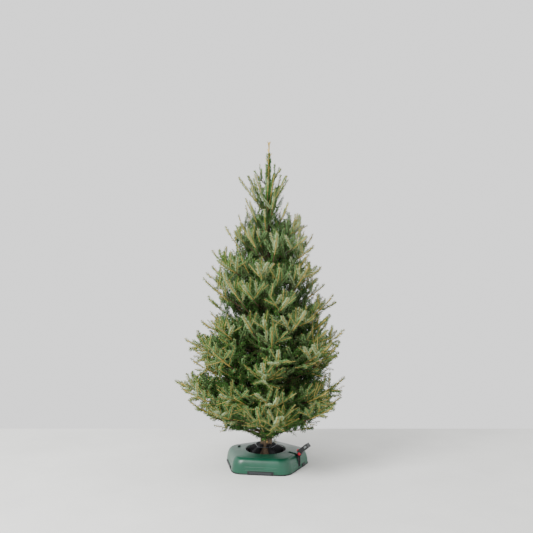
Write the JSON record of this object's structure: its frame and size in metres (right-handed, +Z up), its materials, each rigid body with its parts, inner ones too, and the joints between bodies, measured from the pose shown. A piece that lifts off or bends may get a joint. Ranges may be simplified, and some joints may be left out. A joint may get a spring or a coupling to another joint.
{
  "type": "cut fir christmas tree in a stand",
  "caption": "Cut fir Christmas tree, undecorated, clamped upright in a five-sided green plastic water stand with a foot pedal.",
  "frame": {"origin": "centre of the stand's flat underside, on the floor", "axes": "+Z up along the trunk; -Y is the front; +X is to the right, the side of the foot pedal"},
  "size_m": [0.8172, 0.8114, 1.608],
  "materials": {
    "bark": "matte",
    "bough_bark": "matte",
    "needles": "satin",
    "cover_plastic": "gloss",
    "base_plastic": "satin",
    "claw_plastic": "satin",
    "cable_steel": "satin",
    "pedal_plastic": "satin",
    "cap_plastic": "gloss"
  },
  "bodies": {
    "tree_and_stand": {"bough_01a": "bough_bark", "bough_01b": "bough_bark", "bough_01c": "bough_bark", "bough_01d": "bough_bark", "bough_02a": "bough_bark", "bough_02b": "bough_bark", "bough_02c": "bough_bark", "bough_02d": "bough_bark", "bough_02e": "bough_bark", "claw_1": "claw_plastic", "claw_2": "claw_plastic", "claw_3": "claw_plastic", "claw_4": "claw_plastic", "claw_5": "claw_plastic", "claw_cable": "cable_steel", "foliage_01a": "needles", "foliage_01b": "needles", "foliage_01c": "needles", "foliage_01d": "needles", "foliage_02a": "needles", "foliage_02b": "needles", "foliage_02c": "needles", "foliage_02d": "needles", "foliage_02e": "needles", "foliage_03a": "needles", "foliage_03b": "needles", "foliage_03c": "needles", "foliage_03d": "needles", "foliage_03e": "needles", "foliage_04a": "needles", "foliage_04b": "needles", "foliage_04c": "needles", "foliage_04d": "needles", "foliage_04e": "needles", "foliage_05a": "needles", "foliage_05b": "needles", "foliage_05c": "needles", "foliage_05d": "needles", "foliage_06a": "needles", "foliage_06b": "needles", "foliage_06c": "needles", "foliage_06d": "needles", "foliage_07a": "needles", "foliage_07b": "needles", "foliage_07c": "needles", "foliage_08a": "needles", "foliage_08b": "needles", "foliage_08c": "needles", "foliage_09a": "needles", "foliage_09b": "needles", "foliage_09c": "needles", "foliage_10a": "needles", "foliage_10b": "needles", "level_cap": "base_plastic", "stand_base": "base_plastic", "stand_cover": "cover_plastic", "trunk": "bark", "water_bowl": "base_plastic"},
    "pedal": {"pedal_cap": "cap_plastic", "pedal_lever": "pedal_plastic"}
  },
  "joints": [
    {"name": "pedal_press", "type": "hinge", "parent": "tree_and_stand", "child": "pedal", "pos_m": [0.13482, -0.06576, 0.05], "axis": [0.4384, 0.8988, 0], "range_deg": [0, 30], "stiffness_Nm_per_rad": 0.4, "springref_deg": -20.05}
  ]
}
